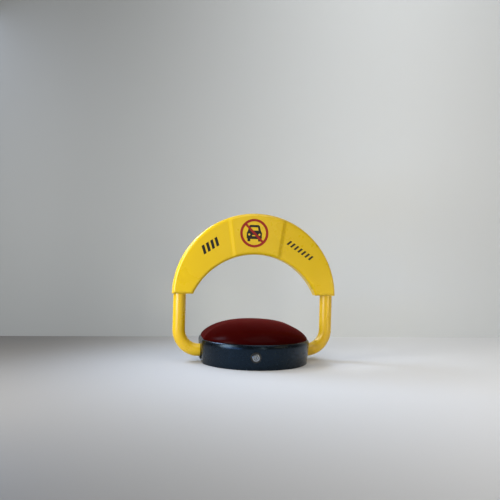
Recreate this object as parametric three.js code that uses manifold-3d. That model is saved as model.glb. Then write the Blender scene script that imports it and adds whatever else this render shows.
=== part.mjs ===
// A folding parking lock: a bent steel hoop with a plastic sign cover, turned by a worm
// drive inside a low round base with a hinged lid. Millimetres, +X right, +Y back, +Z up.
// The origin is the centre of the base's underside, on the ground.
import * as THREE from "three";
import { mergeVertices } from "three/addons/utils/BufferGeometryUtils.js";
import Module from "manifold-3d";

const wasm = await Module();
wasm.setup();

// Clearances
const GAP = 0.3; // between pieces that touch
const FIT = 0.4; // radial, between a shaft or bolt and its hole

// Base housing: a drum with two flat sides, leaning outwards towards its shoulder
const BASE_R = 158;
const BASE_FLAT = 150.5;
const BASE_DRAFT = 5;
const WALL_TOP = 54;
const SHOULDER = { inset: 5, height: 12 };
const WALL = 3.2;
const LEDGE = { width: 9, top: 60.6, thick: 3 };
const PLATE = 4;
const FLOOR = PLATE + GAP;

// Lid
const LID_INSET = SHOULDER.inset + 0.4;
const LID_RIM = 67;
const LID_RISE = 50;
const LID_SKIN = 3;
const HINGE = { y: 137, z: 66, knuckle: 3.4, pin: 1.5 };
const REAR_GAP = 84; // half width of the gap in the ledge and gasket behind the hinge

// Shaft line: the arm's pivot, along X
const AXIS_Z = 31;
const SHAFT_R = 10;
const SHAFT_END = 148;
const BLOCK = { near: 98, far: 114 };

// Arm hoop and sign cover
const TUBE_R = 17.5;
const TUBE_WALL = 3;
const TUBE_END = 118;
const LEG_X = 210;
const BEND_R = 57;
const ARCH_Z = 183.5;
const COVER = { outer: 231.5, inner: 191.5, innerZ: 108, cut: 187, half: 24, round: 9, wall: 2.5 };
const PANEL = { topX: 78, topZ: 389, lowX: 64, lowZ: 297, step: 6, proud: 3.5 };
const COVER_SCREWS = [[0, 332], [-80, 320], [80, 320], [-150, 264], [150, 264]];

// Worm drive
const TEETH = 30;
const WHEEL_R = 24;
const WORM_R = 7.5;
const TOOTH = { out: 1.3, in: 1.6, half: 1.0, slope: Math.tan(Math.PI / 9) };
const LEAD = (2 * Math.PI * WHEEL_R) / TEETH;
const WORM_Z = AXIS_Z + WHEEL_R + WORM_R;
const WHEEL_PIN = { r: 2.2, at: 17.5, end: 28.5 };
const DOG = { r: 25.5, near: 12, far: 19, pinAt: 22.8, swing: 20 };

// Key lock, which sits a little to the left of the front's middle. Its pieces and the lid's
// catch are drawn facing -Y and then turned about Z.
const LOCK_Z = 34;
const LOCK_ASIDE = 7;
const LOCK_FACE_R = 10;
const LOCK_SEAT_R = 14.6;

// Fasteners
const SCREW_RING = { r: 138, angles: [50, 130, 230, 310] };
const HUB_BOLT_X = 128;
const ANCHOR = { x: 95, y: 78, r: 6.5 };

// Boxes on the base plate: [x0, x1, y0, y1, z0, z1]
const BATTERY = [-75, 75, 48, 122, FLOOR, 42];
const CONTROL = [-80, -28, -112, -50, FLOOR, 34];
const BUTTON = { x: -46, y: -66, r: 4 };

const lock = new THREE.Group();
lock.name = "folding_parking_lock";

// ---- materials ----
const finish = (color, roughness, metalness = 0) =>
  new THREE.MeshStandardMaterial({ color, roughness, metalness });
const yellowPaint = finish(0xe2c219, 0.3);
const yellowPlastic = finish(0xe0bd1a, 0.35);
const blackShell = finish(0x10161b, 0.25);
const redLid = finish(0x5a0f0a, 0.3);
const steel = finish(0x9aa0a5, 0.35, 1);
const zinc = finish(0xb9bcc0, 0.4, 1);
const castIron = finish(0x4a4d50, 0.6, 0.8);
const bronze = finish(0xa9793a, 0.35, 1);
const rubber = finish(0x151515, 0.8);
const blackPlastic = finish(0x1d1f22, 0.5);
const greyPlastic = finish(0x7b8187, 0.5);
const chrome = finish(0xc8ccd0, 0.15, 1);
const board = finish(0x1d6b3a, 0.5);
const cellSkin = finish(0x2b4f8a, 0.4);
const cableSkin = finish(0x181818, 0.6);

// ---- geometry helpers ----
// A closed geometry as a solid, turned the right way out.
function solid(geometry) {
  const g = geometry.index ? geometry.toNonIndexed() : geometry.clone();
  g.deleteAttribute("normal");
  g.deleteAttribute("uv");
  const merged = mergeVertices(g, 1e-3);
  const vertProperties = merged.attributes.position.array;
  const triVerts = new Uint32Array(merged.index.array);
  const made = new wasm.Manifold(new wasm.Mesh({ numProp: 3, vertProperties, triVerts }));
  if (made.volume() > 0) return made;
  for (let i = 0; i < triVerts.length; i += 3) {
    [triVerts[i + 1], triVerts[i + 2]] = [triVerts[i + 2], triVerts[i + 1]];
  }
  return new wasm.Manifold(new wasm.Mesh({ numProp: 3, vertProperties, triVerts }));
}

const toLockSide = (made) => made.rotate([0, 0, -LOCK_ASIDE]);
const join = (first, ...others) => others.reduce((a, b) => a.add(b), first);
const cut = (first, ...others) => others.reduce((a, b) => a.subtract(b), first);

// Adds a solid to the lock as a named mesh.
function piece(name, made, material) {
  const { numProp, vertProperties, triVerts } = made.getMesh();
  const points = new THREE.BufferAttribute(vertProperties, numProp);
  const geometry = new THREE.BufferGeometry().setAttribute("position", points);
  geometry.setIndex(new THREE.BufferAttribute(triVerts, 1));
  geometry.computeVertexNormals();
  const mesh = new THREE.Mesh(geometry, material);
  mesh.name = name;
  lock.add(mesh);
}

// A block between opposite corners, the corners in either order.
function box(x0, x1, y0, y1, z0, z1) {
  const g = new THREE.BoxGeometry(Math.abs(x1 - x0), Math.abs(y1 - y0), z1 - z0);
  return solid(g.translate((x0 + x1) / 2, (y0 + y1) / 2, (z0 + z1) / 2));
}

// Moves a geometry made round the Y axis to an axis of the lock.
// centre gives the axis's place in the other two directions, in X, Y, Z order.
function onAxis(geometry, axis, [a, b]) {
  if (axis === "x") return geometry.rotateZ(-Math.PI / 2).translate(0, a, b);
  if (axis === "y") return geometry.translate(a, 0, b);
  return geometry.rotateX(Math.PI / 2).translate(a, b, 0);
}

// A round bar along an axis.
function rod(axis, r, from, to, centre, sides = 16) {
  const g = new THREE.CylinderGeometry(r, r, Math.abs(to - from), sides);
  return solid(onAxis(g.translate(0, (from + to) / 2, 0), axis, centre));
}

// A turned piece along an axis, from a closed profile of [radius, station] points.
function turned(axis, profile, centre, sides = 20) {
  const points = [...profile, profile[0]].map(([r, s]) => new THREE.Vector2(r, s));
  return solid(onAxis(new THREE.LatheGeometry(points, sides), axis, centre));
}

// A turned ring with a plain bore.
const ring = (axis, rIn, rOut, from, to, centre, sides = 20) =>
  turned(axis, [[rIn, from], [rOut, from], [rOut, to], [rIn, to]], centre, sides);

// A skin over rings of points. Open lofts are capped by a fan round each end ring's middle.
function loft(rings, closed = false) {
  const n = rings[0].length;
  const points = rings.flat();
  const index = [];
  const spans = closed ? rings.length : rings.length - 1;
  for (let i = 0; i < spans; i++) {
    const here = i * n;
    const next = ((i + 1) % rings.length) * n;
    for (let j = 0; j < n; j++) {
      const k = (j + 1) % n;
      index.push(here + j, here + k, next + k, here + j, next + k, next + j);
    }
  }
  if (!closed) {
    for (const [start, flip] of [[0, true], [(rings.length - 1) * n, false]]) {
      const middle = new THREE.Vector3();
      for (let j = 0; j < n; j++) middle.addScaledVector(points[start + j], 1 / n);
      points.push(middle);
      for (let j = 0; j < n; j++) {
        const pair = [start + j, start + ((j + 1) % n)];
        index.push(points.length - 1, ...(flip ? pair.reverse() : pair));
      }
    }
  }
  const geometry = new THREE.BufferGeometry().setFromPoints(points);
  return solid(geometry.setIndex(index));
}

// A round wire or pipe along a curve, hollow when an inner radius is given.
// A full circle is drawn with two points for each of its curve segments.
function pipe(curve, r, steps, sides, rIn = 0) {
  const section = new THREE.Shape().absarc(0, 0, r, 0, 2 * Math.PI);
  if (rIn) section.holes.push(new THREE.Path().absarc(0, 0, rIn, 0, 2 * Math.PI));
  const options = { steps, curveSegments: sides / 2, extrudePath: curve };
  return solid(new THREE.ExtrudeGeometry(section, options));
}

const curveThrough = (points) =>
  new THREE.CatmullRomCurve3(points.map((p) => new THREE.Vector3(...p)));

// ---- the base's outline: a circle with two flat sides ----
// inset moves the whole outline inwards; scale shrinks it about the centre.
function outline(inset, scale = 1) {
  const r = (BASE_R - inset) * scale;
  const flat = (BASE_FLAT - inset) * scale;
  const corner = Math.acos(flat / r);
  const flatSteps = 3;
  const arcSteps = 16;
  const points = [];
  for (const side of [1, -1]) {
    for (let i = 0; i < flatSteps; i++) {
      const y = (2 * (i / flatSteps) - 1) * r * Math.sin(corner);
      points.push([side * flat, side * y]);
    }
    for (let i = 0; i < arcSteps; i++) {
      const a = corner + ((Math.PI - 2 * corner) * i) / arcSteps;
      points.push([side * r * Math.cos(a), side * r * Math.sin(a)]);
    }
  }
  return points;
}

const outlineRing = (inset, z, scale = 1) =>
  outline(inset, scale).map(([x, y]) => new THREE.Vector3(x, y, z));

// A flat piece of the base's outline between two heights.
const disc = (inset, z0, z1) => loft([outlineRing(inset, z0), outlineRing(inset, z1)]);

// Inset of the housing's inner wall at a height.
const innerInset = (z) => WALL + (BASE_DRAFT * (WALL_TOP - z)) / WALL_TOP;

// ---- base ----
// Points on the ring of screws that hold the housing to the plate.
const screwPoints = SCREW_RING.angles.map((degrees) => {
  const a = THREE.MathUtils.degToRad(degrees);
  return [SCREW_RING.r * Math.cos(a), SCREW_RING.r * Math.sin(a), a];
});

function basePlate() {
  const cutters = [];
  for (const sx of [-1, 1]) {
    for (const sy of [-1, 1]) {
      cutters.push(rod("z", ANCHOR.r, -1, PLATE + 1, [sx * ANCHOR.x, sy * ANCHOR.y]));
      cutters.push(rod("z", 3.3, -1, PLATE + 1, [sx * 106, sy * 33], 8));
    }
  }
  for (const [x, y] of screwPoints) {
    cutters.push(turned("z", [[0, -1], [6.4, -1], [2.7, 2.9], [2.7, 5], [0, 5]], [x, y], 8));
  }
  piece("base_plate", cut(disc(innerInset(0) + FIT, 0, PLATE), ...cutters), zinc);
}

function housingShell() {
  const profile = [[BASE_DRAFT, 0], [0, WALL_TOP]];
  const arcSteps = 3;
  for (let i = 1; i <= arcSteps; i++) {
    const a = (Math.PI / 2) * (i / arcSteps);
    const inset = SHOULDER.inset * (1 - Math.cos(a));
    profile.push([inset, WALL_TOP + SHOULDER.height * Math.sin(a)]);
  }
  const ledgeIn = SHOULDER.inset + LEDGE.width;
  const ledgeLow = LEDGE.top - LEDGE.thick;
  const wallInTop = 50;
  profile.push([SHOULDER.inset, LEDGE.top], [ledgeIn, LEDGE.top], [ledgeIn, ledgeLow]);
  profile.push([innerInset(wallInTop) + 4, ledgeLow - 1], [innerInset(wallInTop), wallInTop]);
  profile.push([innerInset(0), 0]);
  let shell = loft(profile.map(([inset, z]) => outlineRing(inset, z)), true);
  // screw bosses, each joined to the wall by a web
  for (const [x, y, a] of screwPoints) {
    const web = new THREE.BoxGeometry(16, 4, 30).translate(SCREW_RING.r + 7, 0, FLOOR + 15);
    const boss = rod("z", 6, FLOOR, FLOOR + 30, [x, y], 10);
    shell = join(shell, boss, solid(web.rotateZ(a)));
    shell = cut(shell, rod("z", 2.4, FLOOR - 1, 24, [x, y], 8));
  }
  // side holes for the arm's stubs, and the key lock's hole in its flat seat
  shell = cut(shell, rod("x", TUBE_R + 3, -170, 170, [0, AXIS_Z], 24));
  shell = cut(shell, toLockSide(rod("y", 8.3, -170, -140, [0, LOCK_Z])));
  shell = cut(shell, toLockSide(rod("y", LOCK_SEAT_R, -170, -154.8, [0, LOCK_Z], 20)));
  // behind the hinge line the lid's rim dips inwards, so the ledge stops there
  const rear = box(-REAR_GAP, REAR_GAP, 100, 160, ledgeLow - 2, LEDGE.top + 1);
  shell = cut(shell, rear.intersect(disc(SHOULDER.inset, ledgeLow - 2, LEDGE.top + 1)));
  piece("housing_shell", shell, blackShell);
}

function lidGasket() {
  const low = LEDGE.top + GAP;
  const top = LID_RIM - LID_SKIN - GAP;
  const body = cut(disc(LID_INSET + 0.6, low, top), disc(LID_INSET + 7.6, low - 1, top + 1));
  piece("lid_gasket", cut(body, box(-REAR_GAP, REAR_GAP, 100, 170, low - 1, top + 1)), rubber);
}

function bearings() {
  for (const [side, s] of [["left", -1], ["right", 1]]) {
    const body = join(
      box(s * BLOCK.near, s * BLOCK.far, -24, 24, FLOOR, AXIS_Z),
      rod("x", 24, s * BLOCK.near, s * BLOCK.far, [0, AXIS_Z], 28),
      box(s * BLOCK.near, s * BLOCK.far, -40, 40, FLOOR, 12),
    );
    const bore = rod("x", 13.7, s * (BLOCK.near - 1), s * (BLOCK.far + 1), [0, AXIS_Z], 24);
    const holes = [-33, 33].map((y) => rod("z", 3.4, 3, 13, [s * 106, y], 12));
    piece("bearing_block_" + side, cut(body, bore, ...holes), castIron);
    const inner = SHAFT_R + FIT;
    const [flange, face, end] = [BLOCK.near - 3, BLOCK.near - GAP, BLOCK.far];
    const profile = [[inner, flange], [16, flange], [16, face], [13.2, face], [13.2, end]];
    const bush = [...profile, [inner, end]].map(([r, x]) => [r, s * x]);
    piece("bush_" + side, turned("x", bush, [0, AXIS_Z]), bronze);
    const seal = ring("x", TUBE_R + 0.8, TUBE_R + 2.6, s * 143.5, s * 149.5, [0, AXIS_Z], 20);
    piece("shaft_seal_" + side, seal, rubber);
  }
}

function housingScrews() {
  screwPoints.forEach(([x, y], i) => {
    const profile = [[0, 0.3], [5, 0.3], [2, 3.4], [2, 20], [0, 20]];
    piece("housing_screw_" + (i + 1), turned("z", profile, [x, y], 8), zinc);
  });
}

// ---- worm drive ----
const CASE = { front: -36.3, back: -66, r: 16 };
const CAN = { front: -66.3, back: -112, r: 17.5 };

function motor() {
  const { front, back, r } = CASE;
  const casing = [
    [0, back], [r, back], [r, front], [8, front], [8, front + 3], [4.6, front + 3],
    [4.6, front - 10], [0, front - 10],
  ];
  piece("gear_case", turned("y", casing, [0, WORM_Z]), steel);
  const can = [
    [0, CAN.front], [CAN.r, CAN.front], [CAN.r, CAN.back + 2], [CAN.r - 2, CAN.back],
    [6, CAN.back], [6, CAN.back - 3], [0, CAN.back - 3],
  ];
  piece("motor_can", turned("y", can, [0, WORM_Z]), zinc);
  const plate = join(
    box(-24, 24, -36, -33, FLOOR, 82),
    box(-24, 24, -54, -34, FLOOR, FLOOR + 3),
  );
  piece("motor_bracket", cut(plate, rod("y", 8.5, -40, -30, [0, WORM_Z], 18)), zinc);
  const support = join(
    box(-12, 12, 29, 33, FLOOR, 74),
    box(-12, 12, 30, 44, FLOOR, FLOOR + 3),
  );
  piece("worm_support", cut(support, rod("y", 4.5, 25, 40, [0, WORM_Z])), zinc);
}

function worm() {
  const rIn = WORM_R - TOOTH.in - GAP;
  const core = WORM_R - TOOTH.in - 0.1;
  const tip = WORM_R + TOOTH.out;
  const halfAt = (r) => TOOTH.half - (r - WORM_R) * TOOTH.slope;
  const stepsPerTurn = 12;
  const turns = 4;
  const section = [[rIn, -halfAt(rIn)], [tip, -halfAt(tip)], [tip, halfAt(tip)], [rIn, halfAt(rIn)]];
  const rings = [];
  for (let i = 0; i <= stepsPerTurn * turns; i++) {
    const a = 2 * Math.PI * (i / stepsPerTurn - turns / 2);
    const y = (LEAD * a) / (2 * Math.PI);
    const at = ([r, dy]) =>
      new THREE.Vector3(-r * Math.sin(a), y + dy, WORM_Z - r * Math.cos(a));
    rings.push(section.map(at));
  }
  const spindle = [[0, -44], [4, -44], [4, -14], [core, -14], [core, 14], [4, 14], [4, 36], [0, 36]];
  piece("worm", join(turned("y", spindle, [0, WORM_Z], 16), loft(rings)), steel);
}

// Gear teeth round the shaft line, twisted to lie along the worm's thread.
function wormWheel() {
  const half = (r) => (TOOTH.half - (r - WHEEL_R) * TOOTH.slope) / r;
  const root = WHEEL_R - TOOTH.in;
  const tip = WHEEL_R + TOOTH.out;
  const face = 5;
  const twist = -LEAD / (2 * Math.PI * WORM_R) / WHEEL_R;
  const ringAt = (x) => {
    const points = [];
    for (let k = 0; k < TEETH; k++) {
      const middle = ((k + 0.5) * 2 * Math.PI) / TEETH + twist * x;
      for (const [r, side] of [[root, -1], [tip, -1], [tip, 1], [root, 1]]) {
        const a = middle + side * half(r);
        points.push(new THREE.Vector3(x, r * Math.sin(a), AXIS_Z + r * Math.cos(a)));
      }
    }
    return points;
  };
  const body = join(
    loft([ringAt(-face), ringAt(face)]),
    rod("x", 13.5, -8, 11.5, [0, AXIS_Z]),
    rod("x", WHEEL_PIN.r, 0, WHEEL_PIN.end, [0, AXIS_Z + WHEEL_PIN.at], 12),
  );
  const bore = rod("x", SHAFT_R + FIT, -10, 13, [0, AXIS_Z], 24);
  piece("worm_wheel", cut(body, bore), bronze);
  const magnet = rod("x", 3, -face - GAP, -face - 2.8, [0, AXIS_Z - 17], 12);
  piece("wheel_magnet", magnet, chrome);
  const sensor = join(
    box(-13, -11.4, -14, 14, FLOOR, 16),
    box(-24, -11.4, -14, 14, FLOOR, FLOOR + 2),
  );
  piece("hall_sensor_board", sensor, board);
}

// A disc on the shaft that the wheel's pin turns through a springy slot.
function driveDog() {
  const spread = DOG.swing + THREE.MathUtils.radToDeg((WHEEL_PIN.r + FIT) / WHEEL_PIN.at);
  const steps = 8;
  const slotPoints = [];
  for (const [r, from, to] of [[14.6, -spread, spread], [20.4, spread, -spread]]) {
    for (let i = 0; i <= steps; i++) {
      const a = THREE.MathUtils.degToRad(from + ((to - from) * i) / steps);
      slotPoints.push(new THREE.Vector2(r * Math.sin(a), r * Math.cos(a)));
    }
  }
  // drawn as (y, z) and pushed along X
  const width = DOG.far - DOG.near + 2;
  const slot = new THREE.ExtrudeGeometry(new THREE.Shape(slotPoints), {
    depth: width,
    bevelEnabled: false,
  });
  slot.applyMatrix4(new THREE.Matrix4().set(0, 0, 1, 0, 1, 0, 0, 0, 0, 1, 0, 0, 0, 0, 0, 1));
  slot.translate(DOG.near - 1, 0, AXIS_Z);
  const body = join(
    rod("x", DOG.r, DOG.near, DOG.far, [0, AXIS_Z], 28),
    rod("x", WHEEL_PIN.r, DOG.near + 1, WHEEL_PIN.end, [0, AXIS_Z + DOG.pinAt], 12),
  );
  const bore = rod("x", SHAFT_R + FIT, 10, 30, [0, AXIS_Z], 24);
  piece("drive_dog", cut(body, bore, solid(slot)), steel);
}

// A torsion spring round the shaft, its two legs either side of the pins.
function bufferSpring() {
  const wire = 2;
  const mean = SHAFT_R + 1 + wire;
  const side = WHEEL_PIN.r + wire + GAP;
  const start = Math.asin(side / mean);
  const turns = 4 - start / Math.PI;
  const from = 34;
  const to = 55;
  const points = [
    [26, side, DOG.r - wire], [26, side, 17], [27.5, side, 14.2], [30, side, mean * Math.cos(start)],
  ];
  const stepsPerTurn = 8;
  const count = Math.round(turns * stepsPerTurn);
  for (let i = 0; i <= count; i++) {
    const a = start + 2 * Math.PI * turns * (i / count);
    const x = from + (to - from) * (i / count);
    points.push([x, mean * Math.sin(a), mean * Math.cos(a)]);
  }
  points.push([57.5, -side, 17], [55, -side, 20.5], [45, -side, 20.8], [33, -side, 20.8]);
  points.push([28, -side, 21.2], [26, -side, DOG.r - wire]);
  const curve = curveThrough(points.map(([x, y, z]) => [x, y, AXIS_Z + z]));
  piece("buffer_spring", pipe(curve, wire, 66, 6), steel);
}

// ---- arm ----
// The hoop's centreline in the XZ plane, from inside the left wall over to inside the right.
// Its parameter runs evenly over the steps of its stretches, not over its length.
class HoopLine extends THREE.Curve {
  constructor() {
    super();
    const bendZ = AXIS_Z + BEND_R;
    const bendX = LEG_X - BEND_R;
    this.stretches = [
      { steps: 1, line: [-TUBE_END, AXIS_Z, -bendX, AXIS_Z] },
      { steps: 7, arc: [-bendX, bendZ, BEND_R, -90, -180] },
      { steps: 1, line: [-LEG_X, bendZ, -LEG_X, ARCH_Z] },
      { steps: 22, arc: [0, ARCH_Z, LEG_X, 180, 0] },
      { steps: 1, line: [LEG_X, ARCH_Z, LEG_X, bendZ] },
      { steps: 7, arc: [bendX, bendZ, BEND_R, 0, -90] },
      { steps: 1, line: [bendX, AXIS_Z, TUBE_END, AXIS_Z] },
    ];
    this.steps = this.stretches.reduce((sum, { steps }) => sum + steps, 0);
  }
  getUtoTmapping(u) {
    return u;
  }
  getPoint(t, target = new THREE.Vector3()) {
    let left = t * this.steps;
    let i = 0;
    while (i < this.stretches.length - 1 && left > this.stretches[i].steps) {
      left -= this.stretches[i].steps;
      i += 1;
    }
    const { steps, line, arc } = this.stretches[i];
    const share = left / steps;
    if (line) {
      const [x0, z0, x1, z1] = line;
      return target.set(x0 + (x1 - x0) * share, 0, z0 + (z1 - z0) * share);
    }
    const [x, z, r, from, to] = arc;
    const a = THREE.MathUtils.degToRad(from + (to - from) * share);
    return target.set(x + r * Math.cos(a), 0, z + r * Math.sin(a));
  }
}

const hubHoles = () =>
  [-1, 1].map((s) => rod("z", 4 + FIT, AXIS_Z - 8, 60, [s * HUB_BOLT_X, 0], 8));

function armFrame() {
  const path = new HoopLine();
  const tube = pipe(path, TUBE_R, path.steps, 12, TUBE_R - TUBE_WALL);
  piece("arm_tube", cut(tube, ...hubHoles()), yellowPaint);
  const shaft = rod("x", SHAFT_R, -SHAFT_END, SHAFT_END, [0, AXIS_Z], 24);
  piece("main_shaft", cut(shaft, ...hubHoles()), steel);
  piece("retaining_ring", ring("x", SHAFT_R + FIT, 13, -10.6, -9, [0, AXIS_Z], 20), steel);
  for (const [side, s] of [["left", -1], ["right", 1]]) {
    const sleeve = ring("x", SHAFT_R + FIT, 13.7, s * TUBE_END, s * 150, [0, AXIS_Z]);
    piece("hub_sleeve_" + side, cut(sleeve, ...hubHoles()), steel);
    const low = AXIS_Z + TUBE_R + FIT;
    const bolt = join(
      rod("z", 4, AXIS_Z - 7, low + 1, [s * HUB_BOLT_X, 0], 8),
      rod("z", 7.5, low, low + 5.3, [s * HUB_BOLT_X, 0], 6),
    );
    piece("hub_bolt_" + side, bolt, zinc);
  }
}

// The cover's crescent outline in (x, z), moved inwards by inset.
function crescent(inset) {
  const { outer, inner, innerZ, cut: cutZ } = COVER;
  const rOut = outer - inset;
  const rIn = inner + inset;
  const a = Math.asin((cutZ + inset - ARCH_Z) / rOut);
  const b = Math.asin((cutZ + inset - innerZ) / rIn);
  const shape = new THREE.Shape();
  shape.absarc(0, ARCH_Z, rOut, Math.PI - a, a, true);
  shape.absarc(0, innerZ, rIn, b, Math.PI - b, false);
  return shape;
}

// A crescent slab centred on y = 0 with rounded edges.
function crescentSlab(inset, half, round) {
  const g = new THREE.ExtrudeGeometry(crescent(inset), {
    depth: 2 * (half - round),
    bevelEnabled: round > 0,
    bevelThickness: round,
    bevelSize: round,
    bevelOffset: -round,
    bevelSegments: 2,
    curveSegments: 11,
  });
  return solid(g.rotateX(Math.PI / 2).translate(0, half - round, 0));
}

// The proud middle panel of the front, with sloping sides.
function panel() {
  const { topX, topZ, lowX, lowZ, step, proud } = PANEL;
  const lean = (topX - lowX) / (topZ - lowZ);
  const xAt = (z) => lowX + (z - lowZ) * lean;
  const ringAt = (y, grow) => {
    const [z0, z1] = [lowZ - 20, topZ + 40];
    const corners = [[-1, z0], [1, z0], [1, z1], [-1, z1]];
    return corners.map(([s, z]) => new THREE.Vector3(s * (xAt(z) + grow), y, z));
  };
  const { half } = COVER;
  const block = loft([
    ringAt(-half + 1, step * 1.2), ringAt(-half, step), ringAt(-half - proud, -step),
  ]);
  const inset = COVER.round - 1.5;
  return block.intersect(crescentSlab(inset, half + proud + 1, 0));
}

// A cradle rib that holds the hoop inside the cover.
function cradle(degrees) {
  const rib = new THREE.BoxGeometry(39, 2 * (COVER.half - 2), 3).translate(209, 0, 0);
  const tubeHole = new THREE.CylinderGeometry(TUBE_R + 1, TUBE_R + 1, 12, 16);
  tubeHole.rotateX(Math.PI / 2).translate(LEG_X, 0, 0);
  return [rib, tubeHole].map((g) => {
    const a = THREE.MathUtils.degToRad(degrees);
    return solid(g.rotateY(-a).translate(0, 0, ARCH_Z));
  });
}

function coverShells() {
  const { half, round, wall } = COVER;
  const outer = crescentSlab(0, half, round);
  const pocket = crescentSlab(wall, half - wall, round - wall);
  let shell = cut(outer, pocket);
  for (const degrees of [28, 68, 112, 152]) {
    const [rib, hole] = cradle(degrees);
    shell = join(shell, cut(rib, hole).intersect(outer));
  }
  for (const [x, z] of COVER_SCREWS) {
    shell = join(shell, rod("y", 4.8, -half + 1, half - 1, [x, z], 8));
  }
  for (const s of [-1, 1]) {
    shell = cut(shell, rod("z", TUBE_R + 0.7, 180, 205, [s * LEG_X, 0], 20));
  }
  let front = join(shell.intersect(box(-300, 300, -40, -GAP / 2, 100, 500)), panel());
  let rear = shell.intersect(box(-300, 300, GAP / 2, 40, 100, 500));
  COVER_SCREWS.forEach(([x, z], i) => {
    front = cut(front, rod("y", 2.4, -18, 0, [x, z], 8));
    rear = cut(rear, rod("y", 2.4, 0, 30, [x, z], 8), rod("y", 4.2, 19, 30, [x, z], 8));
    const profile = [[0, -15], [2, -15], [2, 19.3], [3.6, 19.3], [3.6, 22], [0, 22]];
    piece("cover_screw_" + (i + 1), turned("y", profile, [x, z], 8), zinc);
  });
  piece("cover_front", front, yellowPlastic);
  piece("cover_rear", rear, yellowPlastic);
}

// ---- lid ----
// Height of the lid above its rim: 1 in the middle, steep near the edge.
const domeShare = (t) => Math.pow(1 - Math.pow(t, 2.5), 0.68);

function lid() {
  const dome = (inset, z, scales) =>
    loft(scales.map((t) => outlineRing(inset, z + LID_RISE * domeShare(t), t)));
  const outer = dome(LID_INSET, LID_RIM, [0.05, 0.28, 0.48, 0.65, 0.79, 0.89, 0.955, 0.99, 1]);
  const low = disc(LID_INSET, LID_RIM - LID_SKIN, LID_RIM);
  const full = join(outer, low);
  const inner = dome(LID_INSET + LID_SKIN, LID_RIM - LID_SKIN, [0.05, 0.4, 0.68, 0.86, 0.96, 1]);
  let shell = cut(full, inner, disc(LID_INSET + LID_SKIN, 60, LID_RIM - LID_SKIN));
  // hinge lugs and the pad for the catch, moulded in one with the lid
  const { y, z, knuckle, pin } = HINGE;
  for (const s of [-1, 1]) {
    const lug = box(s * 9, s * 13.4, y - knuckle, y + knuckle, z, 95).intersect(full);
    shell = join(shell, lug, rod("x", knuckle, s * 9, s * 13.4, [y, z], 16));
  }
  shell = cut(shell, rod("x", pin + FIT, -20, 20, [y, z], 12));
  shell = join(shell, toLockSide(box(12, 36, -131, -119, 80.3, 110)).intersect(full));
  piece("lid", shell, redLid);
  const catchStrip = join(
    box(22, 25, -129, -121, 26, 80),
    box(12, 36, -129, -121, 78, 80),
    box(9.5, 25, -129, -121, 26, 29),
  );
  piece("lid_catch", toLockSide(catchStrip), zinc);
}

function lidHinge() {
  const { y, z, knuckle, pin } = HINGE;
  let bracket = join(
    box(-22, 22, 128, 131, FLOOR, 56),
    box(-22, 22, 129, 142, FLOOR, FLOOR + 3),
  );
  for (const s of [-1, 1]) {
    bracket = join(
      bracket,
      box(s * 14, s * 18, 128, y, 50, z + 1),
      rod("x", knuckle, s * 14, s * 18, [y, z], 16),
    );
  }
  piece("lid_hinge_bracket", cut(bracket, rod("x", pin + FIT, -20, 20, [y, z], 12)), zinc);
  piece("lid_hinge_pin", rod("x", pin, -19, 19, [y, z], 12), steel);
}

// ---- key lock ----
function keyLock() {
  const at = [0, LOCK_Z];
  const bore = 5.6;
  const thread = 7.8;
  const [face, seat, back] = [-157.6, -155.1, -130];
  const body = [
    [bore, face], [LOCK_FACE_R, face], [LOCK_FACE_R, seat], [thread, seat], [thread, back],
    [bore, back],
  ];
  piece("lock_body", toLockSide(turned("y", body, at)), chrome);
  const seal = ring("y", LOCK_FACE_R + 0.6, LOCK_SEAT_R - 0.6, -156.8, seat, at, 20);
  piece("lock_seal_ring", toLockSide(seal), rubber);
  const nut = cut(rod("y", 12, -150.2, -144.2, at, 6), rod("y", thread + FIT, -155, -140, at));
  piece("lock_nut", toLockSide(nut), zinc);
  const plug = [[0, -157.9], [5.2, -157.9], [5.2, -127], [3, -127], [3, -122.5], [0, -122.5]];
  const keyway = box(-0.9, 0.9, -160, -140, LOCK_Z - 3.5, LOCK_Z + 3.5);
  piece("lock_plug", toLockSide(cut(turned("y", plug, at), keyway)), chrome);
  const cam = join(
    rod("y", 7, -126.5, -123.5, at),
    box(-4, 4, -126.5, -123.5, LOCK_Z, LOCK_Z + 20),
  );
  const camHole = rod("y", 3 + FIT, -130, -120, at, 16);
  piece("lock_cam", toLockSide(cut(cam, camHole)), zinc);
}

// ---- electrics ----
// An open-topped box with walls of the given thickness.
function tray([x0, x1, y0, y1, z0, z1], wall) {
  const hollow = box(x0 + wall, x1 - wall, y0 + wall, y1 - wall, z0 + wall, z1 + 1);
  return cut(box(x0, x1, y0, y1, z0, z1), hollow);
}

// The flat cover of such a box, with a locating pad that drops inside it.
function trayCover([x0, x1, y0, y1, , z1], wall) {
  const inside = wall + FIT;
  return join(
    box(x0, x1, y0, y1, z1 + GAP, z1 + GAP + wall),
    box(x0 + inside, x1 - inside, y0 + inside, y1 - inside, z1 - 1, z1 + GAP + 1),
  );
}

function batteries() {
  const wall = 2.5;
  piece("battery_box", tray(BATTERY, wall), blackPlastic);
  piece("battery_box_cover", trayCover(BATTERY, wall), blackPlastic);
  const r = 16.4;
  const z = FLOOR + wall + r + FIT;
  let number = 0;
  for (const y of [85 - r - 0.6, 85 + r + 0.6]) {
    for (const s of [-1, 1]) {
      number += 1;
      const cell = [[0, 4], [r, 4], [r, 62], [5, 62], [5, 64.5], [0, 64.5]];
      const along = cell.map(([radius, x]) => [radius, s * x]);
      piece("battery_cell_" + number, turned("x", along, [y, z], 20), cellSkin);
    }
  }
}

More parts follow.
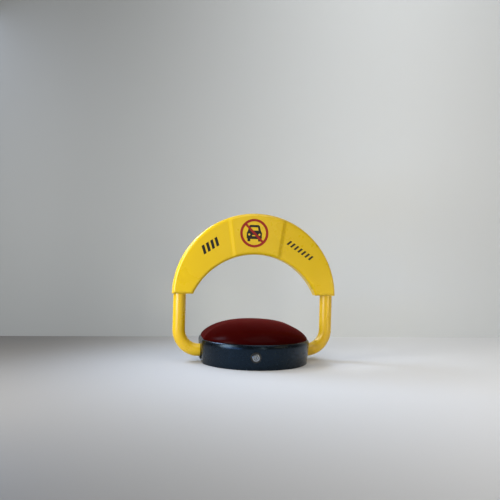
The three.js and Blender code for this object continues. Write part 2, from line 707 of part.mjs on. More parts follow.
function controls() {
  const wall = 2.5;
  const [x0, x1, y0, y1] = CONTROL;
  const { x, y, r } = BUTTON;
  let body = tray(CONTROL, wall);
  const postAt = [[x0 + 6, y0 + 6], [x1 - 6, y0 + 6], [x0 + 6, y1 - 6], [x1 - 6, y1 - 6]];
  for (const at of postAt) body = join(body, rod("z", 2.5, FLOOR + 1, 11.7, at, 10));
  piece("control_box", body, greyPlastic);
  const cover = cut(trayCover(CONTROL, wall), rod("z", r + FIT, 30, 40, [x, y], 16));
  piece("control_box_cover", cover, greyPlastic);
  const parts = join(
    box(x0 + 3.5, x1 - 3.5, y0 + 3.5, y1 - 3.5, 12, 13.6),
    box(x0 + 8, x0 + 27, y0 + 10, y0 + 25, 13, 28),
    box(x0 + 10, x0 + 24, y1 - 22, y1 - 8, 13, 16),
    rod("z", 5, 13, 25, [x1 - 12, y0 + 16], 14),
    box(x - 4, x + 4, y - 4, y + 4, 13, 28),
  );
  piece("control_board", parts, board);
  const button = [[0, 29.5], [5.4, 29.5], [5.4, 31.5], [r, 31.5], [r, 38.4], [0, 38.4]];
  piece("pairing_button", turned("z", button, [x, y], 16), rubber);
  const sounder = [[0, FLOOR], [15, FLOOR], [15, 16], [2.5, 16], [2.5, 12], [0, 12]];
  piece("buzzer", turned("z", sounder, [52, -85], 20), blackPlastic);
}

function cables() {
  const supply = [
    [-62, 47.4, 14], [-62, 43, 14], [-62, 30, 8.5], [-62, -32, 8.5], [-62, -45, 14], [-62, -49.4, 14],
  ];
  piece("battery_cable", pipe(curveThrough(supply), 2.5, 14, 8), cableSkin);
  const feed = [
    [-10, CAN.back - 1, WORM_Z], [-10, CAN.back - 3, WORM_Z], [-10, -117, 59], [-10.5, -116.6, 52],
    [-14, -112, 38], [-17, -100, 27], [-22, -91, 23], [-27.4, -90, 23],
  ];
  piece("motor_cable", pipe(curveThrough(feed), 2, 18, 8), cableSkin);
}

basePlate();
housingShell();
lidGasket();
bearings();
housingScrews();
motor();
worm();
wormWheel();
driveDog();
bufferSpring();
armFrame();
coverShells();
lid();
lidHinge();
keyLock();
batteries();
controls();
cables();

export default lock;
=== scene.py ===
import math

import bmesh
import bpy
from mathutils import Matrix, Vector


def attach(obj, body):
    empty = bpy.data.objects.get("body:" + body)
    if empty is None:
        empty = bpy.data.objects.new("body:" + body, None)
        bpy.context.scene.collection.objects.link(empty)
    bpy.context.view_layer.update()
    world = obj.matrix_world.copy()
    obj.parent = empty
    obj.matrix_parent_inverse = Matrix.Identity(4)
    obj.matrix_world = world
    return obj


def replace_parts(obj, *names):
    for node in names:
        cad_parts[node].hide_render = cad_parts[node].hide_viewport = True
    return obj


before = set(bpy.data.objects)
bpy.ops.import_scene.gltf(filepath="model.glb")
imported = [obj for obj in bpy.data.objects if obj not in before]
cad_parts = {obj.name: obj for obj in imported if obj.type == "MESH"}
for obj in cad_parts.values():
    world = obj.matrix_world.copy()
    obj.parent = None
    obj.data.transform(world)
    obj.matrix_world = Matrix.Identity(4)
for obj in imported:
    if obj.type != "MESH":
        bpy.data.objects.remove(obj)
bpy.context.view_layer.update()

# A folding parking lock. A bent steel hoop with a plastic sign cover stands on a shaft
# inside a low round base, and a worm drive under the hinged lid lays it down. Sizes are
# in millimetres in the sections below, and every mesh is made in metres.
scene = bpy.context.scene
scene.view_settings.view_transform = "Standard"  # shows the materials' colours as given


# ---- Camera ----
# Stands in front of the lock at the height of the sign, a little to its left, so the left
# flat of the base shows. It leans by a degree and a half, as a hand-held camera does.
camera_data = bpy.data.cameras.new("camera")
camera_data.sensor_width = 36
camera_data.lens = 44.35
camera_data.shift_x = -0.0114
camera_data.shift_y = -0.0148
camera = bpy.data.objects.new("camera", camera_data)
scene.collection.objects.link(camera)
scene.camera = camera
eye = Vector((-0.31454, -1.71876, 0.3006))
to_the_right, upwards, lean = 0.181, 0.019, 0.027
camera.matrix_world = (
    Matrix.Translation(eye)
    @ Matrix.Rotation(-to_the_right, 4, "Z")
    @ Matrix.Rotation(math.pi / 2 + upwards, 4, "X")
    @ Matrix.Rotation(lean, 4, "Z")
)


# ---- Studio ----
# A pale matt floor that meets a grey backdrop close behind the lock, both with painted shade
# that darkens them towards the left. A large soft box on the left is the main light, a strip
# behind it picks out the shoulder of the base, and weaker ones fill the right side and the top.
# No lamp shows to the camera.
def to_linear(hex_colour):
    """An sRGB hex colour as linear RGBA."""
    channels = [int(hex_colour[i : i + 2], 16) / 255 for i in (1, 3, 5)]
    linear = [c / 12.92 if c <= 0.04045 else ((c + 0.055) / 1.055) ** 2.4 for c in channels]
    return (*linear, 1.0)


def add_node(tree, kind, inputs=None, **settings):
    """Adds a node. Inputs are values or output sockets, by socket name or number."""
    made = tree.nodes.new(kind)
    for name, value in settings.items():
        setattr(made, name, value)
    for name, value in (inputs or {}).items():
        if isinstance(value, bpy.types.NodeSocket):
            tree.links.new(value, made.inputs[name])
        else:
            made.inputs[name].default_value = value
    return made


def empty_material(name):
    material = bpy.data.materials.new(name)
    material.use_nodes = True
    material.node_tree.nodes.clear()
    return material, material.node_tree


def paper_with_painted_shade(name, dark, light, left, right, one_sided=False):
    """Matt paper with painted shade, its grey lightening from left to right between two places in
    metres.
    One-sided paper is clear from behind, so it hides nothing in the rear views."""
    material, tree = empty_material(name)
    place = add_node(tree, "ShaderNodeTexCoord").outputs["Object"]
    across = add_node(tree, "ShaderNodeSeparateXYZ", {0: place}).outputs["X"]
    share = add_node(
        tree, "ShaderNodeMapRange",
        {"Value": across, "From Min": left, "From Max": right}, interpolation_type="SMOOTHSTEP",
    ).outputs[0]
    tone = add_node(
        tree, "ShaderNodeMix",
        {0: share, 6: to_linear(dark), 7: to_linear(light)}, data_type="RGBA",
    ).outputs[2]
    shader = add_node(tree, "ShaderNodeBsdfPrincipled", {"Base Color": tone, "Roughness": 0.95})
    if one_sided:
        behind = add_node(tree, "ShaderNodeNewGeometry").outputs["Backfacing"]
        clear = add_node(tree, "ShaderNodeBsdfTransparent").outputs[0]
        shader = add_node(tree, "ShaderNodeMixShader", {0: behind, 1: shader.outputs[0], 2: clear})
    add_node(tree, "ShaderNodeOutputMaterial", {"Surface": shader.outputs[0]})
    return material


def stage_sheet(name, corners, material):
    """A flat sheet of the studio, from four corners in metres."""
    mesh = bpy.data.meshes.new(name)
    mesh.from_pydata(corners, [], [(0, 1, 2, 3)])
    mesh.materials.append(material)
    sheet = bpy.data.objects.new(name, mesh)
    scene.collection.objects.link(sheet)


reach, back, height = 12.0, 0.50, 5.0  # metres
# painted shade on both sheets: the paper's grey darkens towards the left
stage_sheet(
    "studio_floor",
    [(-reach, -reach, 0), (reach, -reach, 0), (reach, reach, 0), (-reach, reach, 0)],
    paper_with_painted_shade("floor_paper_painted_shade", "#757473", "#f4f6f8", -0.75, 0.7),
)
stage_sheet(
    "studio_backdrop",
    [(-reach, back, 0), (reach, back, 0), (reach, back, height), (-reach, back, height)],
    paper_with_painted_shade("paper_with_painted_shade", "#979a9b", "#f6fcff", -0.6, 0.8, one_sided=True),
)

world = bpy.data.worlds.new("studio")
world.use_nodes = True
world.node_tree.nodes["Background"].inputs["Color"].default_value = to_linear("#f1f1ef")
world.node_tree.nodes["Background"].inputs["Strength"].default_value = 0.20
scene.world = world


def soft_box(name, place, size, watts, tint="#ffffff", aim=(0, 0, 0.18), spread=180):
    """A rectangular lamp that looks at a point. Places are in metres, spread in degrees."""
    light = bpy.data.lights.new(name, "AREA")
    light.shape = "RECTANGLE"
    light.size, light.size_y = size
    light.energy = watts
    light.color = to_linear(tint)[:3]
    light.spread = math.radians(spread)
    lamp = bpy.data.objects.new(name, light)
    lamp.visible_camera = False
    lamp.location = place
    lamp.rotation_euler = (Vector(aim) - Vector(place)).to_track_quat("-Z", "Y").to_euler()
    scene.collection.objects.link(lamp)


soft_box("left_soft_box", (-1.0, -0.52, 0.46), (0.4, 0.8), 11.5, "#fffaf0")
soft_box("left_back_strip", (-1.05, 0.10, 0.95), (1.0, 0.4), 2.5, "#dfe9ff", (-0.1, -0.05, 0.1))
soft_box(
    "shoulder_strip", (-0.66, 0.34, 0.86), (0.8, 0.34), 2.4, "#c6d8f4", (-0.12, -0.1, 0.06), 60
)
soft_box("left_low_strip", (-0.9, -0.8, 0.08), (0.6, 0.14), 2.2, "#8fc0ff", (-0.12, -0.15, 0.04))
soft_box("right_low_strip", (0.85, -0.9, 0.12), (0.2, 0.3), 0.04, "#fff6d2", (0.215, 0, 0.1), 16)
soft_box("front_strip", (0.35, -2.2, 0.5), (0.14, 1.2), 2.6, "#fff4dc")
soft_box("right_fill", (1.4, -1.3, 0.8), (0.8, 0.8), 2.6, "#ffcf90")
soft_box("top_fill", (0.3, -0.6, 2.2), (1.6, 1.6), 15)


# ---- Base plate ----
# A 4 mm steel plate, zinc plated, with four anchor holes. The bearings and all the works
# are bolted down to it, and the housing is screwed to it from below.
def surface(name, tones, patch, grain, depth, roughness, **shader_inputs):
    """A skin whose colour drifts between two tones in patches and whose grain is lifted
    a little. Patch, grain and depth are in millimetres. Roughness is a lowest and highest."""
    material, tree = empty_material(name)
    place = add_node(tree, "ShaderNodeTexCoord").outputs["Object"]
    patches = add_node(
        tree, "ShaderNodeTexNoise", {"Vector": place, "Scale": 1000 / patch, "Detail": 3.0}
    ).outputs[0]
    tone = add_node(
        tree, "ShaderNodeMix",
        {0: patches, 6: to_linear(tones[0]), 7: to_linear(tones[1])}, data_type="RGBA",
    ).outputs[2]
    rub = add_node(
        tree, "ShaderNodeTexNoise", {"Vector": place, "Scale": 2600 / patch, "Detail": 5.0}
    ).outputs[0]
    gloss = add_node(
        tree, "ShaderNodeMapRange",
        {"Value": rub, "From Min": 0.35, "From Max": 0.65,
         "To Min": roughness[0], "To Max": roughness[1]},
    ).outputs[0]
    relief = add_node(
        tree, "ShaderNodeTexNoise", {"Vector": place, "Scale": 1000 / grain, "Detail": 2.0}
    ).outputs[0]
    bump = add_node(
        tree, "ShaderNodeBump", {"Height": relief, "Distance": depth / 1000, "Strength": 1.0}
    ).outputs[0]
    shader = add_node(
        tree, "ShaderNodeBsdfPrincipled",
        {"Base Color": tone, "Roughness": gloss, "Normal": bump, **shader_inputs},
    )
    add_node(tree, "ShaderNodeOutputMaterial", {"Surface": shader.outputs[0]})
    return material


def refinish(material, *nodes):
    """Gives carried-over solids a better material."""
    for name in nodes:
        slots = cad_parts[name].material_slots
        if not slots:
            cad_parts[name].data.materials.append(material)
        for slot in slots:
            slot.material = material


# zinc plate: soft grey shine with a faint crystal mottle about 9 mm across
zinc_plate = surface(
    "zinc_plated_steel", ("#a9adb2", "#c6c9cb"), 9, 1.2, 0.02, (0.28, 0.46), Metallic=1.0
)
refinish(
    zinc_plate, "base_plate", "motor_bracket", "worm_support", "lid_hinge_bracket",
    "lid_catch", "lock_nut", "lock_cam", "motor_can",
)


# ---- Shaft, bearings and worm drive ----
# The hoop's shaft turns in bronze bushes in two cast blocks. A geared motor turns a steel
# worm, the worm turns a bronze wheel, and a torsion spring passes the turn to the shaft.

# machined steel: bright, with fine tool marks
machined_steel = surface(
    "machined_steel", ("#b4b7ba", "#c9cccd"), 5, 0.8, 0.015, (0.2, 0.36), Metallic=1.0
)
# bearing bronze: warm and smooth
bronze = surface(
    "bearing_bronze", ("#a8772f", "#c08c3f"), 6, 1.0, 0.015, (0.24, 0.4), Metallic=1.0
)
# painted cast iron: dull grey over a coarse sand-cast skin
cast_iron = surface(
    "grey_painted_iron", ("#3a3e42", "#4a4f53"), 14, 1.6, 0.12, (0.5, 0.66), IOR=1.5
)
refinish(
    machined_steel, "main_shaft", "hub_sleeve_left", "hub_sleeve_right", "retaining_ring",
    "drive_dog", "worm", "lid_hinge_pin", "buffer_spring", "gear_case", "wheel_magnet",
)
refinish(bronze, "bush_left", "bush_right", "worm_wheel")
refinish(cast_iron, "bearing_block_left", "bearing_block_right")


# ---- Batteries and controls ----
# Four cells in a black moulded box, a grey box with the circuit board and its pairing
# button, a buzzer, and two cables.

# polypropylene and ABS mouldings: satin, with a fine even grain
black_moulding = surface(
    "black_polypropylene", ("#131416", "#1c1e20"), 25, 0.9, 0.03, (0.42, 0.56), IOR=1.49
)
grey_moulding = surface(
    "grey_abs", ("#6c7278", "#7b8187"), 25, 0.9, 0.03, (0.42, 0.56), IOR=1.54
)
# shrink sleeve: smooth blue film. Circuit lacquer: waxy green. PVC: smooth, dull black
cell_sleeve = surface("shrink_sleeve", ("#1f3f78", "#2a4c8c"), 20, 3, 0.02, (0.2, 0.3), IOR=1.53)
lacquer = surface("circuit_lacquer", ("#14522c", "#1b6538"), 4, 1.2, 0.03, (0.3, 0.42), IOR=1.52)
cable_pvc = surface("black_pvc", ("#141414", "#1d1d1d"), 18, 1.4, 0.02, (0.4, 0.5), IOR=1.53)
refinish(black_moulding, "battery_box", "battery_box_cover", "buzzer")
refinish(grey_moulding, "control_box", "control_box_cover")
refinish(cell_sleeve, *[f"battery_cell_{number}" for number in range(1, 5)])
refinish(lacquer, "control_board", "hall_sensor_board")
refinish(cable_pvc, "battery_cable", "motor_cable")


# ---- Housing ----
# A low drum with two flat sides, leaning outwards to a rounded shoulder. It is moulded in
# glossy black ABS, 3 mm thick, with a ledge inside the rim for the lid's gasket, a flat
# seat for the key lock in front, and a hole in each side for the stubs of the hoop.
BASE_R, BASE_FLAT = 158.0, 150.5
BASE_DRAFT, WALL_TOP, WALL = 5.0, 54.0, 3.2
SHOULDER_IN, SHOULDER_UP = 5.0, 12.0
LEDGE_TOP, LEDGE_UNDER, LEDGE_IN = 60.6, 57.6, 14.0
REAR_GAP, GAP_FROM_Y = 84.0, 100.0
AXIS_Z = 31.0
LOCK_Z, LOCK_ASIDE = 34.0, 7.0  # the second in degrees
LOCK_HOLE, LOCK_SEAT, SEAT_Y = 8.3, 14.6, -154.8
STUB_HOLE, COLLAR_R, COLLAR_FROM = 20.5, 25.0, 145.0
SCREW_CIRCLE, SCREW_ANGLES = 138.0, (50, 130, 230, 310)
BOSS_R, BOSS_FOOT, BOSS_TOP = 6.0, 4.3, 34.3
OUTSIDE = 170.0  # past every wall, for forms that cut right through
AROUND = 240  # points in an outline


def outline_reach(angle, inset):
    """Distance from the middle to the drum's outline, its corners eased."""
    drum = BASE_R - inset
    flat = (BASE_FLAT - inset) / max(abs(math.cos(angle)), 1e-6)
    ease = 1.5
    return min(drum, flat) - max(ease - abs(drum - flat), 0) ** 2 / (4 * ease)


def outline(inset, z, scale=1.0):
    """A ring of points on the drum's outline, moved in by inset and scaled about the middle."""
    ring = []
    for i in range(AROUND):
        angle = 2 * math.pi * i / AROUND
        reach_here = outline_reach(angle, inset) * scale
        ring.append((reach_here * math.cos(angle), reach_here * math.sin(angle), z))
    return ring


def skin(rings, looped=False, first_pole=None, last_pole=None):
    """Points and faces of a skin over rings that have the same number of points."""
    n = len(rings[0])
    points = [point for ring in rings for point in ring]
    faces = []
    for i in range(len(rings) if looped else len(rings) - 1):
        here, there = i * n, (i + 1) % len(rings) * n
        for j in range(n):
            k = (j + 1) % n
            faces.append((here + j, here + k, there + k, there + j))
    for pole, start in ((first_pole, 0), (last_pole, (len(rings) - 1) * n)):
        if pole is not None:
            points.append(pole)
            faces += [(start + j, start + (j + 1) % n, len(points) - 1) for j in range(n)]
    return points, faces


def shade(piece, sharp_degrees=35):
    """Smooth shading that keeps the edges sharper than an angle."""
    piece.data.polygons.foreach_set("use_smooth", [True] * len(piece.data.polygons))
    piece.data.set_sharp_from_angle(angle=math.radians(sharp_degrees))


def new_piece(name, points, faces, material, sharp_degrees=35):
    """A mesh object from points in millimetres, its faces turned outwards."""
    mesh = bpy.data.meshes.new(name)
    mesh.from_pydata([[c / 1000 for c in point] for point in points], [], faces)
    work = bmesh.new()
    work.from_mesh(mesh)
    bmesh.ops.remove_doubles(work, verts=work.verts, dist=2e-6)
    bmesh.ops.recalc_face_normals(work, faces=work.faces)
    work.to_mesh(mesh)
    work.free()
    mesh.materials.append(material)
    piece = bpy.data.objects.new(name, mesh)
    scene.collection.objects.link(piece)
    shade(piece, sharp_degrees)
    return piece


AXES = {"x": (1, 2, 0), "y": (0, 2, 1), "z": (0, 1, 2)}


def turned(axis, profile, centre, sides=48):
    """Points and faces of a closed turned form, from (radius, station) points round an axis.
    Centre gives the axis's place in the other two directions, in X, Y, Z order."""
    a, b, along = AXES[axis]
    rings, poles = [], {}
    for index, (radius, station) in enumerate(profile):
        middle = [0.0, 0.0, 0.0]
        middle[a], middle[b], middle[along] = centre[0], centre[1], station
        if radius == 0:
            poles[index] = tuple(middle)
            continue
        ring = []
        for i in range(sides):
            angle = 2 * math.pi * i / sides
            point = list(middle)
            point[a] += radius * math.cos(angle)
            point[b] += radius * math.sin(angle)
            ring.append(tuple(point))
        rings.append(ring)
    looped = not poles
    return skin(rings, looped, poles.get(0), poles.get(len(profile) - 1))


def rod(axis, radius, start, end, centre, sides=48):
    """Points and faces of a plain rod between two stations along an axis."""
    return turned(axis, [(0, start), (radius, start), (radius, end), (0, end)], centre, sides)


def slab(axis, low, high, loop):
    """Points and faces of a slab between two stations, from a closed loop across the axis."""
    a, b, along = AXES[axis]
    n = len(loop)
    points = []
    for station in (low, high):
        for across in loop:
            point = [0.0, 0.0, 0.0]
            point[a], point[b], point[along] = *across, station
            points.append(tuple(point))
    faces = [tuple(range(n)), tuple(range(n, 2 * n))]
    faces += [(i, (i + 1) % n, n + (i + 1) % n, n + i) for i in range(n)]
    return points, faces


def block(x0, x1, y0, y1, z0, z1):
    """Points and faces of a block between two corners."""
    points = [(x, y, z) for x in (x0, x1) for y in (y0, y1) for z in (z0, z1)]
    faces = [(0, 1, 3, 2), (4, 6, 7, 5), (0, 4, 5, 1), (2, 3, 7, 6), (0, 2, 6, 4), (1, 5, 7, 3)]
    return points, faces


def carve(piece, operation, *tools):
    """Cuts forms from a piece, or joins them to it, one after another."""
    made = [new_piece("tool", *tool, piece.data.materials[0]) for tool in tools]
    for tool in made:
        modifier = piece.modifiers.new("carve", "BOOLEAN")
        modifier.operation, modifier.solver, modifier.object = operation, "EXACT", tool
    keep_evaluated(piece)
    for tool in made:
        bpy.data.objects.remove(tool)


def keep_evaluated(piece):
    """Turns a piece's modifiers into its plain mesh."""
    graph = bpy.context.evaluated_depsgraph_get()
    result = bpy.data.meshes.new_from_object(piece.evaluated_get(graph))
    piece.modifiers.clear()
    piece.data = result
    result.name = piece.name
    shade(piece)


def inner_inset(z):
    """How far the wall's inner face lies inside the drum's outline at a height."""
    return WALL + BASE_DRAFT * (WALL_TOP - z) / WALL_TOP


def housing_profile():
    """The wall's section as (inset, z), from its foot up the outside and down the inside."""
    section = [(BASE_DRAFT + 0.8, 0.0), (BASE_DRAFT + 0.1, 0.5), (BASE_DRAFT - 0.15, 1.6)]
    section += [(BASE_DRAFT * (1 - z / WALL_TOP), z) for z in (12, 26, 40, 50)]
    for i in range(9):
        a = math.pi / 2 * i / 8
        rise = SHOULDER_UP * math.sin(a)
        section.append((SHOULDER_IN * (1 - math.cos(a)), WALL_TOP + rise))
    section += [(SHOULDER_IN, LEDGE_TOP), (LEDGE_IN, LEDGE_TOP), (LEDGE_IN, LEDGE_UNDER)]
    section.append((inner_inset(50) + 4, LEDGE_UNDER - 1))
    section += [(inner_inset(50), 50), (inner_inset(25), 25), (inner_inset(0), 0.0)]
    return section


# glossy ABS: nearly black, a polished mould's gloss with faint waviness, and a painted blue cast:
# its reflections are tinted blue in place of the cool light the wall mirrors
black_abs = surface(
    "glossy_black_abs", ("#010203", "#020305"), 40, 6, 0.02, (0.22, 0.3),
    # the blue Specular Tint is painted reflection colour
    **{"IOR": 1.5, "Specular IOR Level": 0.5, "Specular Tint": to_linear("#a4caf0")},
)
housing = new_piece(
    "housing", *skin([outline(inset, z) for inset, z in housing_profile()], looped=True), black_abs
)


def screw_boss(degrees):
    """A boss for a housing screw and the web that ties it to the wall."""
    angle = math.radians(degrees)
    place = (SCREW_CIRCLE * math.cos(angle), SCREW_CIRCLE * math.sin(angle))
    boss = rod("z", BOSS_R, BOSS_FOOT, BOSS_TOP, place, 24)
    web_points, web_faces = block(SCREW_CIRCLE - 1, 153, -2, 2, BOSS_FOOT, BOSS_TOP)
    spin = Matrix.Rotation(angle, 3, "Z")
    return boss, ([tuple(spin @ Vector(p)) for p in web_points], web_faces)


def set_aside(points, faces):
    """Turns a form of the lock's about Z, to its place left of the front's middle."""
    spin = Matrix.Rotation(math.radians(-LOCK_ASIDE), 3, "Z")
    return [tuple(spin @ Vector(p)) for p in points], faces


for angle in SCREW_ANGLES:
    carve(housing, "UNION", *screw_boss(angle))
for side in (-1, 1):
    collar = [
        (STUB_HOLE - 1, COLLAR_FROM), (COLLAR_R, COLLAR_FROM), (COLLAR_R, BASE_FLAT - 0.9),
        (COLLAR_R - 1, BASE_FLAT), (STUB_HOLE - 1, BASE_FLAT),
    ]
    carve(housing, "UNION", turned("x", [(r, side * x) for r, x in collar], (0, AXIS_Z), 64))
carve(
    housing, "DIFFERENCE",
    rod("x", STUB_HOLE, -OUTSIDE, OUTSIDE, (0, AXIS_Z), 64),
    set_aside(*rod("y", LOCK_HOLE, -OUTSIDE, -140, (0, LOCK_Z))),
    set_aside(*rod("y", LOCK_SEAT, -OUTSIDE, SEAT_Y, (0, LOCK_Z), 64)),
)
# The ledge stops behind the hinge, where the lid's rim dips inwards as it opens, and the
# crest of the shoulder is shaved there.
for inset, low, high in ((SHOULDER_IN, LEDGE_UNDER - 2, LEDGE_TOP + 1), (4.1, 59.4, 67.0)):
    rear_gap = [(x, y) for x, y, _ in outline(inset, 0) if y > GAP_FROM_Y and abs(x) < REAR_GAP]
    rear_gap += [(-REAR_GAP, GAP_FROM_Y), (REAR_GAP, GAP_FROM_Y)]
    carve(housing, "DIFFERENCE", slab("z", low, high, rear_gap))
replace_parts(housing, "housing_shell")
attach(housing, "base")

# EPDM rubber: dull, near black, with a fine moulded grain
rubber = surface("black_rubber", ("#121212", "#1b1b1a"), 12, 0.8, 0.04, (0.6, 0.8), IOR=1.52)
refinish(rubber, "lid_gasket", "shaft_seal_left", "shaft_seal_right", "pairing_button")


# ---- Hoop ----
# A 35 mm steel tube with a 3 mm wall, bent to a half circle with two legs that turn in
# through the base's sides. It is powder coated yellow: a smooth, slightly rippled shine.
TUBE_R, TUBE_WALL, TUBE_END = 17.5, 3.0, 118.0
LEG_X, BEND_R, ARCH_Z = 210.0, 57.0, 183.5


def hoop_line():
    """The tube's centreline from inside the left wall, over, to inside the right wall."""
    bend_x, bend_z = LEG_X - BEND_R, AXIS_Z + BEND_R
    points = [(-TUBE_END, 0, AXIS_Z)]

    def arc(x, z, r, start, end, steps):
        for i in range(steps + 1):
            a = math.radians(start + (end - start) * i / steps)
            points.append((x + r * math.cos(a), 0, z + r * math.sin(a)))

    arc(-bend_x, bend_z, BEND_R, -90, -180, 24)
    arc(0, ARCH_Z, LEG_X, 180, 0, 96)
    arc(bend_x, bend_z, BEND_R, 0, -90, 24)
    return points + [(TUBE_END, 0, AXIS_Z)]


def new_tree(name, **inputs):
    """A geometry tree with named inputs, given as (socket type, default)."""
    tree = bpy.data.node_groups.new(name, "GeometryNodeTree")
    tree.interface.new_socket("Geometry", in_out="INPUT", socket_type="NodeSocketGeometry")
    tree.interface.new_socket("Geometry", in_out="OUTPUT", socket_type="NodeSocketGeometry")
    for socket_name, (kind, default) in inputs.items():
        socket = tree.interface.new_socket(socket_name, in_out="INPUT", socket_type=kind)
        if default is not None:
            socket.default_value = default
    return tree, tree.nodes.new("NodeGroupInput").outputs


def end_tree(tree, geometry, material):
    """Closes a tree with real geometry in its material."""
    real = add_node(tree, "GeometryNodeRealizeInstances", {0: geometry}).outputs[0]
    painted = add_node(
        tree, "GeometryNodeSetMaterial", {"Geometry": real, "Material": material}
    ).outputs[0]
    add_node(tree, "NodeGroupOutput", {0: painted})


def grow(holder, tree, material, **values):
    """Runs a tree on an object and keeps the plain mesh. Values go in by identifier."""
    modifier = holder.modifiers.new("grow", "NODES")
    modifier.node_group = tree
    sockets = {s.name: s.identifier for s in tree.interface.items_tree if s.in_out == "INPUT"}
    modifier[sockets["Material"]] = material
    for name, value in values.items():
        modifier[sockets[name]] = value
    holder.data.update_tag()
    graph = bpy.context.evaluated_depsgraph_get()
    mesh = bpy.data.meshes.new_from_object(holder.evaluated_get(graph))
    name = holder.name
    bpy.data.objects.remove(holder)
    mesh.name = name
    piece = bpy.data.objects.new(name, mesh)
    scene.collection.objects.link(piece)
    return piece


FLOAT, WHOLE, SOCKET_MATERIAL = "NodeSocketFloat", "NodeSocketInt", "NodeSocketMaterial"


def tube_tree():
    tree, given = new_tree(
        "bent_tube", Radius=(FLOAT, 0.01), Sides=(WHOLE, 32), Material=(SOCKET_MATERIAL, None)
    )
    ring = add_node(
        tree, "GeometryNodeCurvePrimitiveCircle",
        {"Radius": given["Radius"], "Resolution": given["Sides"]},
    ).outputs[0]
    wall = add_node(
        tree, "GeometryNodeCurveToMesh",
        {"Curve": given["Geometry"], "Profile Curve": ring, "Fill Caps": False},
    ).outputs[0]
    end_tree(tree, wall, given["Material"])
    return tree


bent_tube = tube_tree()


def path_holder(name, points):
    """An open line of points in millimetres that a tree can run along."""
    curve = bpy.data.curves.new(name, "CURVE")
    curve.dimensions = "3D"
    spline = curve.splines.new("POLY")
    spline.points.add(len(points) - 1)
    for target, point in zip(spline.points, points):
        target.co = (*[c / 1000 for c in point], 1)
    holder = bpy.data.objects.new(name, curve)
    scene.collection.objects.link(holder)
    return holder


# powder coat: strong yellow, orange-peel ripple 2 to 3 mm across under an even shine
powder_coat = surface(
    "yellow_powder_coat", ("#daae06", "#e2b90a"), 60, 2.4, 0.04, (0.26, 0.35),
    **{"IOR": 1.5, "Coat Weight": 0.25, "Coat Roughness": 0.12},
)
hoop = grow(
    path_holder("hoop_tube", hoop_line()), bent_tube, powder_coat, Radius=TUBE_R / 1000, Sides=64
)
wall = hoop.modifiers.new("tube_wall", "SOLIDIFY")
wall.thickness, wall.offset = TUBE_WALL / 1000, -1
keep_evaluated(hoop)
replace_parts(hoop, "arm_tube")
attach(hoop, "arm")


# ---- Sign cover ----
# Two crescent shells moulded in yellow polypropylene clamp the top of the hoop. The front
# one has a raised middle panel with sloping sides, and five screws pull the rear one to it.
# The moulding leaves broad soft edges and a semi-gloss, slightly waxy face.
COVER_OUT, COVER_IN, COVER_IN_Z = 231.5, 191.5, 108.0
COVER_CUT, COVER_HALF, COVER_ROUND, COVER_WALL = 187.0, 24.0, 9.0, 2.5
PANEL_TOP, PANEL_LOW = (78.0, 389.0), (64.0, 297.0)
PANEL_STEP, PANEL_PROUD = 6.0, 3.5
COVER_SCREWS = [(0, 332), (-80, 320), (80, 320), (-150, 264), (150, 264)]
POST_R, POST_END = 5.2, 22.0
SCREW_BORE, SCREW_SINK, SINK_FLOOR = 2.4, 4.4, 19.0
PARTING = 0.15
ACROSS = 14  # faces across the crescent


def panel_side(z):
    """Half width of the raised panel at a height, at the middle of its sloping side."""
    (top_x, top_z), (low_x, low_z) = PANEL_TOP, PANEL_LOW
    return low_x + (z - low_z) * (top_x - low_x) / (top_z - low_z)


def angle_on_side(radius, centre_z, grow_by):
    """Where the panel's side, moved out by grow_by, meets an arc."""
    low, high = math.radians(40), math.radians(89)
    for _ in range(40):
        a = (low + high) / 2
        outside = radius * math.cos(a) > panel_side(centre_z + radius * math.sin(a)) + grow_by
        low, high = (a, high) if outside else (low, a)
    return low


def spread(stations, counts):
    """Values that run evenly between stations, with a count for each stretch."""
    values = [stations[0]]
    for start, end, count in zip(stations, stations[1:], counts):
        values += [start + (end - start) * (i + 1) / count for i in range(count)]
    return values


def crescent_columns(inset):
    """Angles of the columns on the outer and the inner arc, right to left."""
    r_out, r_in = COVER_OUT - inset, COVER_IN + inset
    columns = []
    for r, z in ((r_out, ARCH_Z), (r_in, COVER_IN_Z)):
        end = math.asin((COVER_CUT + inset - z) / r)
        foot = angle_on_side(r, z, PANEL_STEP)
        top = angle_on_side(r, z, -PANEL_STEP)
        quarter = [end, foot, top]
        stations = quarter + [math.pi / 2] + [math.pi - a for a in reversed(quarter)]
        columns.append(spread(stations, (64, 10, 36, 36, 10, 64)))
    return columns


def crescent(inset):
    """The outline in (x, z): outer arc from right to left, left end, inner arc, right end."""
    outer, inner = crescent_columns(inset)
    r_out, r_in = COVER_OUT - inset, COVER_IN + inset
    top = [(r_out * math.cos(a), ARCH_Z + r_out * math.sin(a)) for a in outer]
    low = [(r_in * math.cos(a), COVER_IN_Z + r_in * math.sin(a)) for a in inner]

    def rung(start, end):
        return [
            tuple(s + (e - s) * i / ACROSS for s, e in zip(start, end)) for i in range(1, ACROSS)
        ]

    ring = top + rung(top[-1], low[-1]) + low[::-1] + rung(low[0], top[0])
    return ring, top, low


def panel_rise(x, z):
    """How far the raised panel stands out at a point, its slope eased at foot and top."""
    share = min(max((panel_side(z) + PANEL_STEP - abs(x)) / (2 * PANEL_STEP), 0), 1)
    ease = 0.16
    slope = 1 / (1 - ease)
    if share < ease:
        share = share * share * slope / (2 * ease)
    elif share > 1 - ease:
        share = 1 - (1 - share) ** 2 * slope / (2 * ease)
    else:
        share = (share - ease / 2) * slope
    return PANEL_PROUD * share


